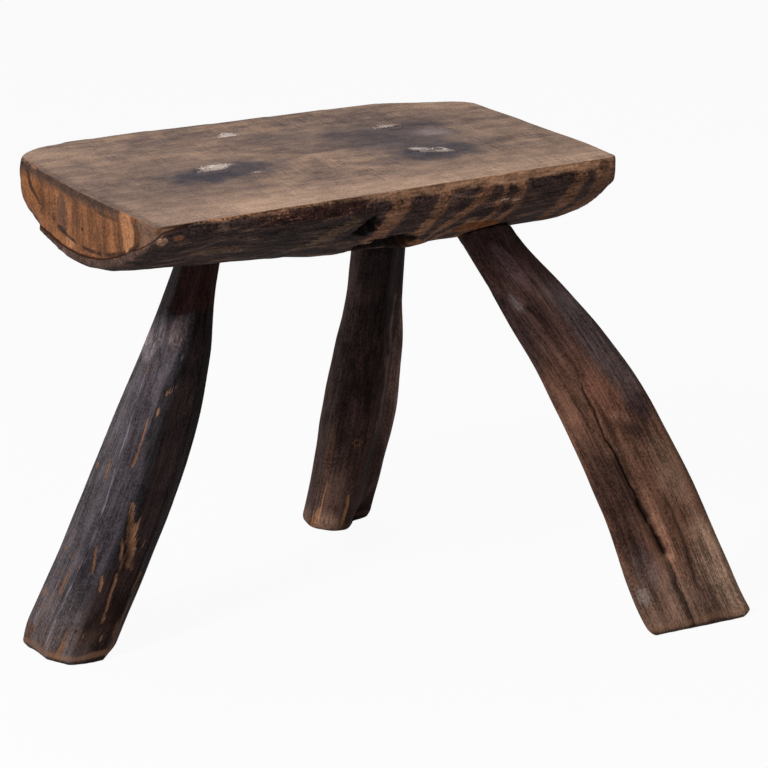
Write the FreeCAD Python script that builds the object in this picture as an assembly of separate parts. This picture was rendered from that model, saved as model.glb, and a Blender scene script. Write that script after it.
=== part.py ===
import FreeCAD, Part
import math
import os
from collections import namedtuple

from FreeCAD import Vector

# Hewn three-legged stool: half a log, flat side up, on three branch legs.
# Each leg ends in a round tapered tenon that goes right through the seat.
# A wedge driven into a kerf in the tenon's end spreads it in its mortise.
# X runs along the seat, Y across it to the back, Z up; lengths are in millimetres.

# Seat, half a log split lengthwise
SEAT_HEIGHT = 420.0
SEAT_LENGTH = 450.0
LEFT_WIDTH = 308.0
RIGHT_WIDTH = 284.0
LEFT_THICKNESS = 65.0
MIDDLE_THICKNESS = 85.0
RIGHT_THICKNESS = 82.0
LEFT_EDGE = 8.0
RIGHT_EDGE = 14.0
BARK_MARGIN = 4.0
LEFT_END_BOW = 4.0
LEFT_END_BOW_RADIUS = 320.0
FRONT_CORNER_RADIUS = 9.0
BACK_LEFT_CUT_X = 33.0
BACK_LEFT_CUT_Y = 34.0
BACK_RIGHT_CUT_X = 74.0
BACK_RIGHT_CUT_Y = 32.0
BACK_CORNER_RADIUS = 30.0

# Tenon, mortise and wedge, the same on the three legs
TENON_TOP_DIAMETER = 27.0
TENON_TAPER_DEG = 2.0
TENON_REACH = 10.0
JOINT_CLEARANCE = 0.15
WEDGE_THICKNESS = 7.0
WEDGE_TIP = 1.6
WEDGE_LENGTH = 46.0

# Foot, worn round the edge where it meets the floor
FOOT_WEAR_HEIGHT = 5.0
FOOT_WEAR = 4.0

# Places of the tenons on the seat's flat top
LEFT_TENON_INSET = 125.0
LEFT_TENON_OFFSET = -8.0
FRONT_TENON_INSET = 126.0
FRONT_TENON_OFFSET = -46.0
BACK_TENON_INSET = 117.0
BACK_TENON_OFFSET = 56.0

# Left leg
LEFT_SPLAY_X = -137.0
LEFT_SPLAY_Y = 29.0
LEFT_BOW_X = 14.0
LEFT_BOW_Y = -7.0
LEFT_FOOT_WIDTH = 86.0
LEFT_FOOT_DEPTH = 74.0

# Front leg, the broad one on the right
FRONT_SPLAY_X = 180.0
FRONT_SPLAY_Y = -160.0
FRONT_BOW_X = 19.0
FRONT_BOW_Y = -10.0
FRONT_FOOT_WIDTH = 96.0
FRONT_FOOT_DEPTH = 84.0

# Back leg, fluted down its right side
BACK_SPLAY_X = 15.0
BACK_SPLAY_Y = 120.0
BACK_BOW_X = 11.0
BACK_BOW_Y = -1.0
BACK_FOOT_WIDTH = 71.0
BACK_FOOT_DEPTH = 72.0

# The broad side of every leg is turned by this much about Z, from +X
BROAD_SIDE_TURN_DEG = -30.5
# Turn of each wedge about its tenon, from the seat's length
LEFT_WEDGE_TURN_DEG = 2.0
FRONT_WEDGE_TURN_DEG = -24.0
BACK_WEDGE_TURN_DEG = 6.0

# How far the seat's thickest place lies along it, and the bow's crown across it
MIDDLE_PLACE_SHARE = 0.62
LEFT_BOW_PLACE_SHARE = 0.42

# Stations up a leg: height, bow, width, depth and how far the hewn outline has become round,
# each a share of the leg's own size; the tenon starts at the last station but one
LEFT_STATION_SHARES = (
    (0.00, 0.00, 1.00, 1.00, 0.00),
    (0.15, 0.33, 0.99, 0.99, 0.00),
    (0.30, 0.74, 0.95, 0.97, 0.05),
    (0.45, 0.97, 0.90, 0.92, 0.10),
    (0.55, 1.00, 0.81, 0.85, 0.20),
    (0.65, 0.95, 0.66, 0.73, 0.35),
    (0.75, 0.80, 0.51, 0.60, 0.60),
    (0.80, 0.70, 0.46, 0.55, 0.85),
    (0.88, 0.46, 0.43, 0.53, 1.00),
)
FRONT_STATION_SHARES = (
    (0.00, 0.00, 1.00, 1.00, 0.00),
    (0.13, 0.37, 0.98, 0.98, 0.00),
    (0.28, 0.78, 0.94, 0.95, 0.05),
    (0.44, 1.00, 0.91, 0.90, 0.12),
    (0.55, 1.00, 0.87, 0.85, 0.22),
    (0.65, 0.75, 0.78, 0.76, 0.40),
    (0.75, 0.42, 0.63, 0.64, 0.65),
    (0.80, 0.22, 0.57, 0.57, 0.90),
    (0.90, 0.08, 0.54, 0.54, 1.00),
)
BACK_STATION_SHARES = (
    (0.00, 0.00, 0.94, 0.94, 0.00),
    (0.12, 0.33, 0.96, 0.98, 0.00),
    (0.25, 0.66, 1.00, 1.00, 0.00),
    (0.37, 0.90, 0.96, 0.98, 0.05),
    (0.50, 1.00, 0.85, 0.90, 0.10),
    (0.61, 0.90, 0.73, 0.80, 0.20),
    (0.70, 0.82, 0.71, 0.75, 0.40),
    (0.80, 0.60, 0.66, 0.69, 0.65),
    (0.89, 0.36, 0.62, 0.65, 0.90),
)

# Hewn outlines of the legs, as shares of half the width and half the depth
LEFT_SECTION_SHARES = (
    (-1.00, 0.10), (-0.71, -0.34), (-0.42, -0.78), (0.15, -1.00), (0.82, -0.68),
    (1.00, 0.02), (0.70, 0.76), (0.00, 1.00), (-0.74, 0.72),
)
FRONT_SECTION_SHARES = (
    (-1.00, -0.78), (-0.93, -0.95), (-0.02, -0.43), (0.30, -0.24), (0.92, 0.14), (1.00, 0.32),
    (0.80, 0.82), (0.30, 1.00), (-0.35, 0.62), (-0.61, 0.25), (-0.86, -0.12),
)
BACK_SECTION_SHARES = (
    (-1.00, -0.02), (-0.72, -0.70), (-0.12, -1.00), (0.42, -0.86), (0.66, -0.30),
    (0.95, 0.04), (1.04, 0.54), (0.58, 0.94), (-0.18, 1.00), (-0.80, 0.62),
)

# How far a cutting or cut-off body runs past the piece that it shapes
OVERRUN = 12.0

PARTS_FOLDER = "parts"

Leg = namedtuple(
    "Leg",
    "name tenon_x tenon_y splay_x splay_y bow_x bow_y width depth wedge_turn stations section",
)

LEGS = (
    Leg(
        "left", LEFT_TENON_INSET - SEAT_LENGTH / 2, LEFT_TENON_OFFSET,
        LEFT_SPLAY_X, LEFT_SPLAY_Y, LEFT_BOW_X, LEFT_BOW_Y,
        LEFT_FOOT_WIDTH, LEFT_FOOT_DEPTH, LEFT_WEDGE_TURN_DEG,
        LEFT_STATION_SHARES, LEFT_SECTION_SHARES,
    ),
    Leg(
        "front", SEAT_LENGTH / 2 - FRONT_TENON_INSET, FRONT_TENON_OFFSET,
        FRONT_SPLAY_X, FRONT_SPLAY_Y, FRONT_BOW_X, FRONT_BOW_Y,
        FRONT_FOOT_WIDTH, FRONT_FOOT_DEPTH, FRONT_WEDGE_TURN_DEG,
        FRONT_STATION_SHARES, FRONT_SECTION_SHARES,
    ),
    Leg(
        "back", SEAT_LENGTH / 2 - BACK_TENON_INSET, BACK_TENON_OFFSET,
        BACK_SPLAY_X, BACK_SPLAY_Y, BACK_BOW_X, BACK_BOW_Y,
        BACK_FOOT_WIDTH, BACK_FOOT_DEPTH, BACK_WEDGE_TURN_DEG,
        BACK_STATION_SHARES, BACK_SECTION_SHARES,
    ),
)


# Outlines

def rounded_outline(corners):
    """A closed wire of straight runs joined by tangent arcs; corners are (point, radius)."""
    edges = []
    leaving = []
    count = len(corners)
    for i, (point, radius) in enumerate(corners):
        before = (corners[i - 1][0] - point).normalize()
        after = (corners[(i + 1) % count][0] - point).normalize()
        half_angle = before.getAngle(after) / 2
        setback = radius / math.tan(half_angle)
        centre = point + (before + after).normalize() * (radius / math.sin(half_angle))
        crown = centre + (point - centre).normalize() * radius
        start = point + before * setback
        end = point + after * setback
        if leaving:
            edges.append(Part.makeLine(leaving[-1], start))
        edges.append(Part.Arc(start, crown, end).toShape())
        leaving.append(end)
    edges.append(Part.makeLine(leaving[-1], edges[0].Vertexes[0].Point))
    return Part.Wire(edges)


def polygon(points):
    """A closed wire of straight runs through the points."""
    return Part.makePolygon(list(points) + [points[0]])


# Seat

def log_section(x, width, thickness, edge):
    """The log across its length: a round belly under two upright sides and a level top."""
    side = width / 2 + BARK_MARGIN
    top = SEAT_HEIGHT + OVERRUN
    rim = SEAT_HEIGHT - edge
    front_top = Vector(x, -side, top)
    back_top = Vector(x, side, top)
    front_rim = Vector(x, -side, rim)
    back_rim = Vector(x, side, rim)
    belly = Vector(x, 0, SEAT_HEIGHT - thickness)
    return Part.Wire([
        Part.makeLine(front_top, back_top),
        Part.makeLine(back_top, back_rim),
        Part.Arc(back_rim, belly, front_rim).toShape(),
        Part.makeLine(front_rim, front_top),
    ])


def seat_plan():
    """The seat seen from above: a tapered slab with a bowed left end and two hewn back corners."""
    right = SEAT_LENGTH / 2
    left = -right
    front_left = -LEFT_WIDTH / 2
    front_right = -RIGHT_WIDTH / 2
    bow_y = front_left + LEFT_WIDTH * LEFT_BOW_PLACE_SHARE
    bottom = SEAT_HEIGHT - max(LEFT_THICKNESS, MIDDLE_THICKNESS, RIGHT_THICKNESS) - OVERRUN
    corners = (
        (left, front_left, FRONT_CORNER_RADIUS),
        (right, front_right, FRONT_CORNER_RADIUS),
        (right, -front_right - BACK_RIGHT_CUT_Y, BACK_CORNER_RADIUS),
        (right - BACK_RIGHT_CUT_X, -front_right, BACK_CORNER_RADIUS),
        (left + BACK_LEFT_CUT_X, -front_left, BACK_CORNER_RADIUS),
        (left, -front_left - BACK_LEFT_CUT_Y, BACK_CORNER_RADIUS),
        (left - LEFT_END_BOW, bow_y, LEFT_END_BOW_RADIUS),
    )
    outline = rounded_outline([(Vector(x, y, bottom), radius) for x, y, radius in corners])
    return Part.Face(outline).extrude(Vector(0, 0, SEAT_HEIGHT - bottom))


def seat_blank():
    """The half log before its mortises are bored."""
    reach = SEAT_LENGTH / 2 + OVERRUN
    middle_x = (MIDDLE_PLACE_SHARE - 0.5) * SEAT_LENGTH
    middle_width = LEFT_WIDTH + (RIGHT_WIDTH - LEFT_WIDTH) * MIDDLE_PLACE_SHARE
    middle_edge = LEFT_EDGE + (RIGHT_EDGE - LEFT_EDGE) * MIDDLE_PLACE_SHARE
    log = Part.makeLoft([
        log_section(-reach, LEFT_WIDTH, LEFT_THICKNESS, LEFT_EDGE),
        log_section(middle_x, middle_width, MIDDLE_THICKNESS, middle_edge),
        log_section(reach, RIGHT_WIDTH, RIGHT_THICKNESS, RIGHT_EDGE),
    ], True)
    return log.common(seat_plan()).Solids[0]


# Tenon and wedge

def tenon_axis(leg):
    """The middle of the tenon's end on the seat's top, and the tenon's upward direction."""
    end = Vector(leg.tenon_x, leg.tenon_y, SEAT_HEIGHT)
    return end, (end - tenon_root(leg)).normalize()


def tenon_cone(leg, clearance, reach_down):
    """The tenon's tapered round, run past the seat's top and down the leg by the given reach."""
    end, up = tenon_axis(leg)
    slope = math.tan(math.radians(TENON_TAPER_DEG))
    past_top = TENON_TOP_DIAMETER
    radius = TENON_TOP_DIAMETER / 2 + clearance
    return Part.makeCone(
        radius + reach_down * slope, radius - past_top * slope,
        reach_down + past_top, end - up * reach_down, up,
    )


def wedge_prism(leg, clearance):
    """The wedge's taper from above the seat's top to its tip, wider than the tenon."""
    end, up = tenon_axis(leg)
    turn = math.radians(leg.wedge_turn)
    along = Vector(math.cos(turn), math.sin(turn), 0)
    across = up.cross(along).normalize()
    along = across.cross(up).normalize()
    half_end = WEDGE_THICKNESS / 2 + clearance
    half_tip = WEDGE_TIP / 2 + clearance
    length = WEDGE_LENGTH + clearance
    past_top = TENON_TOP_DIAMETER
    half_past = half_end + (half_end - half_tip) * past_top / length
    tip = end - up * length
    crown = end + up * past_top
    side = along * TENON_TOP_DIAMETER
    points = (
        tip - across * half_tip - side, tip + across * half_tip - side,
        crown + across * half_past - side, crown - across * half_past - side,
    )
    return Part.Face(polygon(points)).extrude(side * 2)


def above_seat():
    """The space over the seat's top, which trims tenons and wedges flush."""
    size = SEAT_LENGTH + LEFT_WIDTH + RIGHT_WIDTH
    return Part.makeBox(size, size, size, Vector(-size / 2, -size / 2, SEAT_HEIGHT))


# Legs

def centre_line(leg, height_share, bow_share):
    """A point on the leg's bowed centre line."""
    down_share = 1 - height_share
    return Vector(
        leg.tenon_x + leg.splay_x * down_share + leg.bow_x * bow_share,
        leg.tenon_y + leg.splay_y * down_share + leg.bow_y * bow_share,
        SEAT_HEIGHT * height_share,
    )


def tenon_root(leg):
    """The point on the centre line where the tenon starts."""
    return centre_line(leg, *leg.stations[-2][:2])


def leg_outline(leg, station, shrink=0.0, lift=0.0):
    """The leg's hewn outline at a station, drawn in all round by shrink and raised by lift."""
    height, bow, width_share, depth_share, round_share = station
    centre = centre_line(leg, height, bow) + Vector(0, 0, lift)
    turn = math.radians(BROAD_SIDE_TURN_DEG)
    broad = Vector(math.cos(turn), math.sin(turn), 0)
    deep = Vector(-math.sin(turn), math.cos(turn), 0)
    half_width = leg.width * width_share / 2 - shrink
    half_depth = leg.depth * depth_share / 2 - shrink
    points = []
    for x, y in leg.section:
        ease = 1 - round_share + round_share / math.hypot(x, y)
        points.append(centre + broad * (x * ease * half_width) + deep * (y * ease * half_depth))
    return polygon(points)


def leg_body(leg):
    """The hewn branch from the floor up into the seat, with a worn edge round its foot."""
    foot = leg.stations[0]
    sole = leg_outline(leg, foot, shrink=FOOT_WEAR)
    worn = leg_outline(leg, foot, lift=FOOT_WEAR_HEIGHT)
    upper = [leg_outline(leg, station) for station in leg.stations[1:]]
    body = Part.makeLoft([worn] + upper, True)
    return body.fuse(Part.makeLoft([sole, worn], True, True))


def make_leg(leg, blank):
    """The leg with its shoulder scribed to the log's belly and its tenon kerfed for the wedge."""
    end, up = tenon_axis(leg)
    tenon_length = (end - tenon_root(leg)).Length + TENON_REACH
    tenon = tenon_cone(leg, 0.0, tenon_length).cut(above_seat())
    shaped = leg_body(leg).cut(blank).fuse(tenon)
    return shaped.cut(wedge_prism(leg, JOINT_CLEARANCE))


def make_wedge(leg):
    """The wedge, trimmed to the tenon's round and flush with the seat's top."""
    return wedge_prism(leg, 0.0).common(tenon_cone(leg, 0.0, WEDGE_LENGTH * 2)).cut(above_seat())


def make_seat(blank):
    """The half log with its three tapered mortises."""
    seat = blank
    for leg in LEGS:
        seat = seat.cut(tenon_cone(leg, JOINT_CLEARANCE, SEAT_HEIGHT / 2))
    return seat


# Assembly, with the origin on the floor under the middle of the whole stool

def build():
    """Every piece by its name, moved so that the origin is the middle of the footprint."""
    blank = seat_blank()
    pieces = {"seat": make_seat(blank)}
    for leg in LEGS:
        pieces[leg.name + "_leg"] = make_leg(leg, blank)
        pieces[leg.name + "_wedge"] = make_wedge(leg)
    box = Part.makeCompound(list(pieces.values())).optimalBoundingBox(False)
    shift = Vector(-(box.XMin + box.XMax) / 2, -(box.YMin + box.YMax) / 2, -box.ZMin)
    for shape in pieces.values():
        shape.translate(shift)
    return pieces, shift


pieces, shift = build()
os.makedirs(PARTS_FOLDER, exist_ok=True)
for name, shape in pieces.items():
    solids = shape.Solids
    Part.makeCompound(solids).exportStep(os.path.join(PARTS_FOLDER, name + ".step"))
    print(name, "solids", len(solids), "valid", shape.isValid(), "volume", round(shape.Volume))
print("shift", shift)
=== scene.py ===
import math

import bmesh
import bpy
import numpy as np
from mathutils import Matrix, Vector, noise
from mathutils.bvhtree import BVHTree


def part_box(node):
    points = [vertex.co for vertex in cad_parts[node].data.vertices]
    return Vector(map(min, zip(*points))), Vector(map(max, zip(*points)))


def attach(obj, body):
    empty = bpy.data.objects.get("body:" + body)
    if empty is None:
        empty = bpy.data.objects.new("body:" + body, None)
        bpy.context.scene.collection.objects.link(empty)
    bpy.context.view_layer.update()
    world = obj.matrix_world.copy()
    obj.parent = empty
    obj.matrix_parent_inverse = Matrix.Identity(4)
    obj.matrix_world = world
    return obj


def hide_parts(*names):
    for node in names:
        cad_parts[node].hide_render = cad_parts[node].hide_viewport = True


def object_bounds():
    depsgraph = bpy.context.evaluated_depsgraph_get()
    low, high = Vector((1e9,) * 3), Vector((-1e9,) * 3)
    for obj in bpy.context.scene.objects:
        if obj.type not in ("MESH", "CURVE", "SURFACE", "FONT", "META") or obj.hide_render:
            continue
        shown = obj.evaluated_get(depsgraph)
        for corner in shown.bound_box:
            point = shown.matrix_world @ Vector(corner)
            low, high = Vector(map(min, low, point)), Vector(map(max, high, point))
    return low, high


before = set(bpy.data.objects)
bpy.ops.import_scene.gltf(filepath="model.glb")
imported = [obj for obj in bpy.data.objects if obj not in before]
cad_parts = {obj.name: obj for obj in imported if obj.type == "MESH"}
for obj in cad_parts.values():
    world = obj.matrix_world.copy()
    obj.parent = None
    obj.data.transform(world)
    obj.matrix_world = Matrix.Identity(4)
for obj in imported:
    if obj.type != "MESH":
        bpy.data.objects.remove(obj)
cad_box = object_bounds()


# Seat: half a log, split lengthwise and laid with its flat side up.
# The top is bare wood, worn smooth and stained dark round the leg ends. The two ends show
# end grain, and the round belly keeps its bark, scraped off in stripes towards the right.

# The meshes have a whole number of layers up to the seat's top, so that it stays flat.
TOP_HEIGHT = 0.42
SEAT_VOXEL = TOP_HEIGHT / 205
WELD = 1e-5


def cad_shape(node):
    """A CAD piece's mesh with its loose triangles joined."""
    shape = bmesh.new()
    shape.from_mesh(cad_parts[node].data)
    bmesh.ops.remove_doubles(shape, verts=shape.verts, dist=WELD)
    shape.normal_update()
    return shape


def hewn_copy(node, voxel):
    """A copy of a CAD piece with an even mesh, fine enough to carve."""
    shape = cad_shape(node)
    mesh = bpy.data.meshes.new(node + "_hewn")
    shape.to_mesh(mesh)
    piece = bpy.data.objects.new(node + "_hewn", mesh)
    bpy.context.collection.objects.link(piece)
    even = piece.modifiers.new("even mesh", "REMESH")
    even.mode = "VOXEL"
    even.voxel_size = voxel
    dense = bpy.data.meshes.new_from_object(piece.evaluated_get(bpy.context.evaluated_depsgraph_get()))
    piece.modifiers.clear()
    piece.data = dense
    shape.free()
    dense.shade_smooth()
    return piece


def soften(mesh, chosen, rounds, in_plan=False):
    """Smooths the chosen vertices, and leaves their heights alone where that is asked."""
    shape = bmesh.new()
    shape.from_mesh(mesh)
    soft = [vert for vert, picked in zip(shape.verts, chosen) if picked]
    for _ in range(rounds):
        bmesh.ops.smooth_vert(
            shape, verts=soft, factor=0.5, use_axis_x=True, use_axis_y=True, use_axis_z=not in_plan)
    shape.to_mesh(mesh)
    shape.free()


def read(mesh, field):
    """The vertices' places ("co") or normals ("normal") as rows of an array."""
    rows = np.empty(len(mesh.vertices) * 3)
    mesh.vertices.foreach_get(field, rows)
    return rows.reshape(-1, 3)


def write(mesh, points):
    """Moves the vertices to new places, kept inside the CAD model's box."""
    inside = np.clip(points, np.array(cad_box[0]), np.array(cad_box[1]))
    mesh.vertices.foreach_set("co", inside.ravel())
    mesh.update()


def paint(mesh, name, values):
    """Keeps a mask or a vector on the vertices, for the finish to read."""
    kind, field = ("FLOAT", "value") if values.ndim == 1 else ("FLOAT_VECTOR", "vector")
    mesh.attributes.new(name, kind, "POINT").data.foreach_set(field, values.astype(np.float32).ravel())


def ease(values, start, stop):
    """A smooth step from 0 at start to 1 at stop."""
    share = np.clip((values - start) / (stop - start), 0, 1)
    return share * share * (3 - 2 * share)


def waves(points, per_metre, seed):
    """Smooth noise from -1 to 1 at each point, with its own number of waves a metre on each axis."""
    scaled = points * np.array(per_metre) + seed
    return np.array([noise.noise(place) for place in scaled.tolist()])


def hump(points, centre, radii):
    """1 at the centre, falling to nothing over the radii."""
    away = ((points - np.array(centre)) / np.array(radii)) ** 2
    return np.exp(-away.sum(1) * 1.5)


def along_run(points, start, stop, radius):
    """1 on a straight run between two places, falling to nothing over the radius."""
    start, run = np.array(start), np.array(stop) - np.array(start)
    share = np.clip((points - start) @ run / (run @ run), 0, 1)
    away = np.linalg.norm(points - start - share[:, None] * run, axis=1)
    return np.exp(-(away / radius) ** 2)


class Shade:
    """A shader socket that Python can do sums with; every sum adds a Math node to its tree."""

    def __init__(self, tree, socket=None):
        self.tree = tree
        self.socket = socket

    def node(self, kind, settings, inputs, output=0):
        """Adds a node, sets it up, fills or links its inputs, and gives one of its outputs."""
        made = self.tree.nodes.new("ShaderNode" + kind)
        for name, setting in settings.items():
            setattr(made, name, setting)
        for name, value in inputs.items():
            if isinstance(value, Shade):
                self.tree.links.new(value.socket, made.inputs[name])
            else:
                made.inputs[name].default_value = value
        return Shade(self.tree, made.outputs[output])

    def sum(self, operation, *values):
        return self.node("Math", {"operation": operation}, dict(enumerate(values)))

    def __add__(self, other):
        return self.sum("ADD", self, other)

    def __sub__(self, other):
        return self.sum("SUBTRACT", self, other)

    def __rsub__(self, other):
        return self.sum("SUBTRACT", other, self)

    def __mul__(self, other):
        return self.sum("MULTIPLY", self, other)

    __radd__ = __add__
    __rmul__ = __mul__

    def most(self, other):
        return self.sum("MAXIMUM", self, other)

    def absolute(self):
        return self.sum("ABSOLUTE", self)

    def step(self, start, stop):
        """A smooth step from 0 at start to 1 at stop."""
        limits = {"Value": self, "From Min": start, "From Max": stop}
        return self.node("MapRange", {"interpolation_type": "SMOOTHSTEP"}, limits)

    def over(self, under, colour):
        """A colour laid over another where this mask is 1."""
        return self.node("Mix", {"data_type": "RGBA"}, {0: self, 6: under, 7: colour}, 2)

    def lit(self, colour):
        """A colour made lighter or darker by this much."""
        colour = colour if isinstance(colour, Shade) else colour[:3]
        return self.node("VectorMath", {"operation": "SCALE"}, {0: colour, "Scale": self})

    def vector(self, operation, first, second):
        return self.node("VectorMath", {"operation": operation}, {0: first, 1: second})

    def grain(self, place, per_metre, detail=3.0):
        """Noise about 0, mostly from -1 to 1, with its own number of waves a metre on each axis."""
        scaled = self.vector("MULTIPLY", place, per_metre)
        inputs = {"Vector": scaled, "Scale": 1.0, "Detail": detail, "Roughness": 0.6}
        return self.node("TexNoise", {}, inputs) * 4.0 - 2.0

    def mask(self, name):
        """A mask that was kept on the vertices."""
        return self.node("Attribute", {"attribute_name": name}, {}, "Fac")

    def spot(self, place, centre, radii, core):
        """1 in the core of a spot round a place, fading out to its radii."""
        away = self.vector("SUBTRACT", place, centre)
        shares = self.vector("MULTIPLY", away, [1 / radius for radius in radii])
        return self.node("VectorMath", {"operation": "LENGTH"}, {0: shares}, "Value").step(1.0, core)


def new_finish(name, specular):
    """A material, its shader node and a bare Shade to add nodes with."""
    material = bpy.data.materials.new(name)
    material.use_nodes = True
    shader = material.node_tree.nodes["Principled BSDF"]
    shader.inputs["Specular IOR Level"].default_value = specular
    return material, shader, Shade(material.node_tree)


def finish_with(shader, shade, colour, roughness, height):
    """Links a finish's colour, roughness and relief, which is in millimetres, to its shader."""
    relief = shade.node("Bump", {}, {"Strength": 1.0, "Distance": 0.001, "Height": height})
    for name, value in (("Base Color", colour), ("Roughness", roughness), ("Normal", relief)):
        shade.tree.links.new(value.socket, shader.inputs[name])


def seen(red, green, blue):
    """A colour as it looks on a screen, 0 to 255, turned into light."""
    return [((part / 255 + 0.055) / 1.055) ** 2.4 for part in (red, green, blue)] + [1.0]


seat_low, seat_high = (np.array(corner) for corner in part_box("seat"))
seat_middle = np.array([*(seat_low + seat_high)[:2] / 2, seat_high[2]])

STAIN_DRIFT = 0.014
PALE_DRIFT = 0.006
SEAT_ROUNDS = 2
RIM_REACH = 0.018
RIM_FADE = 0.045
UNDER_SKIN = 0.0025
CORNER_ROUNDS = 140
BELLY_WORN = 0.0011
TAN_RAISED = 0.0018
LIP_RAISED = 0.0030
KNOT_DEPTH = 0.014
HOLLOW_DEPTH = 0.004
BROKEN_DEPTH = 0.013
FACET_DEPTH = 0.0020
TORN_DEPTH = 0.0013
END_SUNK = 0.0022
BACK_CORNER_IN = 0.0050
RIGHT_EDGE_OUT = 0.0040
LEFT_END_HUMPS = (
    (0.0046, (-0.214, 0.135, 0), (0.030, 0.018, 0.032)),
    (0.0028, (-0.225, 0.095, -0.032), (0.030, 0.036, 0.024)),
)
# Places on the seat are from the middle of its top.
KNOT_HOLE = (-0.018, -0.128, -0.036)
HOLLOW = (-0.021, -0.113, -0.049)
BROKEN = (0.022, -0.082, -0.066)
LIP = (0.058, -0.078, -0.067)
TAN_RUN = ((-0.060, -0.118, -0.043), (-0.036, -0.141, -0.023))
BACK_CORNER = (-0.165, 0.070)
FRONT_CORNER = (-0.220, -0.153)
CORNER_RUN = (-0.042, -0.026, -0.011, 0.002, 0.013, 0.026, 0.050)
CORNER_DROP = (0.0310, 0.0225, 0.0135, 0.0070, 0.0047, 0.0022, -0.0030)
# Marks on the top: place along and across, half length, half width and strength.
STAINS = (
    (-0.126, -0.018, 0.024, 0.018, 0.70), (-0.102, -0.034, 0.036, 0.016, 0.70),
    (-0.062, -0.008, 0.020, 0.020, 0.60), (-0.092, -0.010, 0.052, 0.040, 0.40),
    (0.100, 0.036, 0.072, 0.058, 0.22), (0.078, 0.046, 0.030, 0.022, 0.20),
    (0.130, 0.050, 0.026, 0.022, 0.35), (0.106, -0.058, 0.042, 0.022, 0.52),
    (0.080, -0.048, 0.026, 0.020, 0.40), (0.128, -0.040, 0.026, 0.022, 0.40),
    (0.104, -0.030, 0.062, 0.050, 0.40), (0.050, 0.052, 0.060, 0.034, 0.29),
    (-0.004, 0.073, 0.028, 0.022, 0.35), (0.075, 0.005, 0.050, 0.040, 0.35),
    (0.150, 0.030, 0.060, 0.060, 0.20),
)
PALE_MARKS = (
    (-0.031, 0.100, 0.013, 0.0085, 0.95), (-0.069, -0.033, 0.008, 0.0022, 0.80),
    (-0.097, -0.003, 0.018, 0.013, 0.90), (0.108, 0.057, 0.017, 0.010, 0.62),
    (0.092, -0.033, 0.012, 0.009, 0.85), (0.106, -0.043, 0.012, 0.011, 0.85),
    (-0.118, 0.120, 0.004, 0.003, 0.6), (-0.086, 0.002, 0.015, 0.011, 0.8),
)


def top_marks(points, rows, drift, soft):
    """How strong a list of marks on the top is at every point, with soft or ragged edges."""
    local = points - seat_middle
    broad, fine = (60, 60, 5), (190, 190, 5)
    east = local[:, 0] + drift * (waves(points, broad, 3.7) + 0.4 * waves(points, fine, 6.1))
    north = local[:, 1] + drift * (waves(points, broad, 9.3) + 0.4 * waves(points, fine, 1.9))
    bare = np.ones(len(points))
    for mark_x, mark_y, length, width, strength in rows:
        away = np.hypot((east - mark_x) / length, (north - mark_y) / width)
        bare *= 1 - strength * (np.exp(-1.1 * away ** 2) if soft else ease(away, 1.15, 0.2))
    return (1 - bare) * (local[:, 2] > -0.004)


def paint_top(mesh, points, stain_share=1.0):
    """Keeps the top's stains and pale marks on the vertices of a piece that shows in it."""
    paint(mesh, "stain", stain_share * top_marks(points, STAINS, STAIN_DRIFT, True))
    paint(mesh, "pale", top_marks(points, PALE_MARKS, PALE_DRIFT, False))


log_shape = cad_shape("seat")
whole_log = BVHTree.FromBMesh(log_shape)
cut_faces = [face for face in log_shape.faces if face.normal.z > 0.7 or abs(face.normal.x) > 0.8]
bmesh.ops.delete(log_shape, geom=cut_faces, context="FACES")
bark_side = BVHTree.FromBMesh(log_shape)
log_shape.free()


def end_gap(x, inner):
    """How far a point stands in from the end face in front of it."""
    way = 1.0 if x < seat_middle[0] else -1.0
    hit = whole_log.ray_cast(Vector((-way, inner[1], inner[2])), Vector((way, 0, 0)))[0]
    return abs(x - hit.x) if hit else 1.0


seat = hewn_copy("seat", SEAT_VOXEL)
local = read(seat.data, "co") - seat_middle
soften(seat.data, np.ones(len(local), bool), SEAT_ROUNDS)
at_back_corner = (local[:, 0] < BACK_CORNER[0]) & (local[:, 1] > BACK_CORNER[1])
soften(seat.data, at_back_corner, CORNER_ROUNDS, in_plan=True)
points = read(seat.data, "co")
normals = read(seat.data, "normal")
local = points - seat_middle
inner_points = points - normals * UNDER_SKIN
nearest = [bark_side.find_nearest(Vector(inner)) for inner in inner_points]
depth = np.array([found[3] for found in nearest])
outward = np.array([found[1] for found in nearest])
gap = np.array([end_gap(x, inner) for x, inner in zip(points[:, 0], inner_points)])
from_left = points[:, 0] - seat_low[0]
from_right = seat_high[0] - points[:, 0]

upward = ease(normals[:, 2], 0.55, 0.9) * ease(local[:, 2], -0.012, -0.004)
endward = ease(gap, 0.0042, 0.0012) * (1 - upward)
barked = 1 - np.maximum(upward, endward)

rim_width = 0.0042 + 0.0033 * ease(local[:, 1], 0.10, -0.02)
corner_run = local[:, 0] - FRONT_CORNER[0] - local[:, 1] + FRONT_CORNER[1]
corner_drop = np.interp(corner_run, CORNER_RUN, CORNER_DROP)
at_corner = ease(corner_run, -0.050, -0.036) * (local[:, 0] < 0)
reach = (depth - rim_width) * (1 - at_corner) + (local[:, 2] + corner_drop) * at_corner
reach += 0.0006 * waves(points, (90, 90, 90), 9.2)
bare = ease(reach, -0.0010, 0.0014)
facet = bare * barked * at_corner
end_face = endward * bare

rim_worn = 0.0026 - 0.0012 * ease(local[:, 1], 0.045, 0.075)
at_end = np.maximum(ease(from_left, RIM_REACH, 0), 0.8 * ease(from_right, RIM_REACH, 0))
worn_in = rim_worn * at_end * ease(depth, RIM_FADE, 0) * ease(local[:, 2], -0.012, -0.036)

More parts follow.
